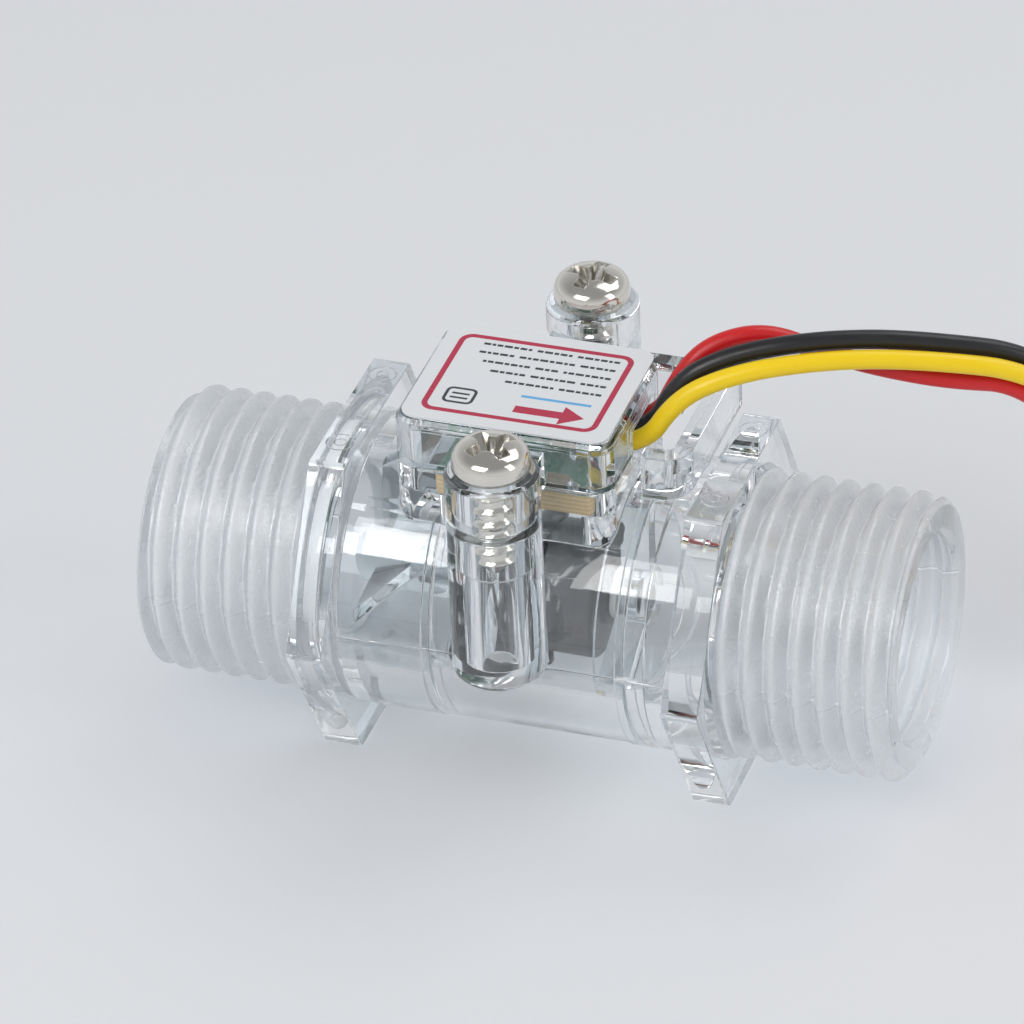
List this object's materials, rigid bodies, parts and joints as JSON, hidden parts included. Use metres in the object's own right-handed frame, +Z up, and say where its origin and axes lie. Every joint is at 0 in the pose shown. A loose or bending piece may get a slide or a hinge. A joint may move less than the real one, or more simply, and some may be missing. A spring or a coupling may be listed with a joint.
{
  "type": "water flow sensor",
  "caption": "Clear in-line water flow sensor with a threaded pipe body, a magnetic turbine rotor, a screwed-on pulse circuit box and a wire lead with a plug.",
  "frame": {"origin": "midway between the pipe ends, under the pipe axis, at the height of the hexagon flats that the part rests on", "axes": "+X along the pipe from inlet to outlet, +Y to the back, +Z up through the circuit box"},
  "size_m": [0.0959, 0.0458, 0.0329],
  "materials": {
    "clear_body": "clear glossy moulded polycarbonate",
    "clear_cover": "clear glossy moulded polycarbonate",
    "label": "pale grey gloss sticker with a crimson border",
    "screw_steel": "polished nickel-plated steel",
    "board": "green solder mask on a tan glass-fibre board",
    "chip_black": "black epoxy",
    "chip_tan": "tan ceramic with tinned ends",
    "chip_dark": "black film on ceramic with tinned ends",
    "solder": "bright solder",
    "rotor_black": "black acetal",
    "magnet_dark": "dark grey sintered ferrite",
    "shaft_steel": "ground stainless steel",
    "washer_white": "white low-friction plastic",
    "guide_clear": "clear moulded plastic",
    "clip_white": "milky white plastic",
    "wire_red": "red vinyl insulation",
    "wire_black": "black vinyl insulation",
    "wire_yellow": "yellow vinyl insulation",
    "plug_white": "white nylon",
    "tin": "tinned brass"
  },
  "bodies": {
    "sensor": {"valve_body": "clear_body", "sensor_cover": "clear_cover", "label_plate": "label", "cover_screws": "screw_steel", "circuit_board": "board", "hall_sensor": "chip_black", "chip_capacitor": "chip_tan", "chip_resistor": "chip_dark", "solder_joints": "solder", "rotor_shaft": "shaft_steel", "thrust_washers": "washer_white", "flow_guide": "guide_clear", "outlet_bracket": "guide_clear", "retaining_clip": "clip_white", "wire_red": "wire_red", "wire_black": "wire_black", "wire_yellow": "wire_yellow", "connector_housing": "plug_white", "crimp_terminals": "tin"},
    "rotor": {"rotor": "rotor_black", "rotor_magnet": "magnet_dark"}
  },
  "joints": [
    {"name": "rotor_spin", "type": "hinge", "parent": "sensor", "child": "rotor", "pos_m": [0, 0, 0.01225], "axis": [1, 0, 0], "continuous": true}
  ]
}
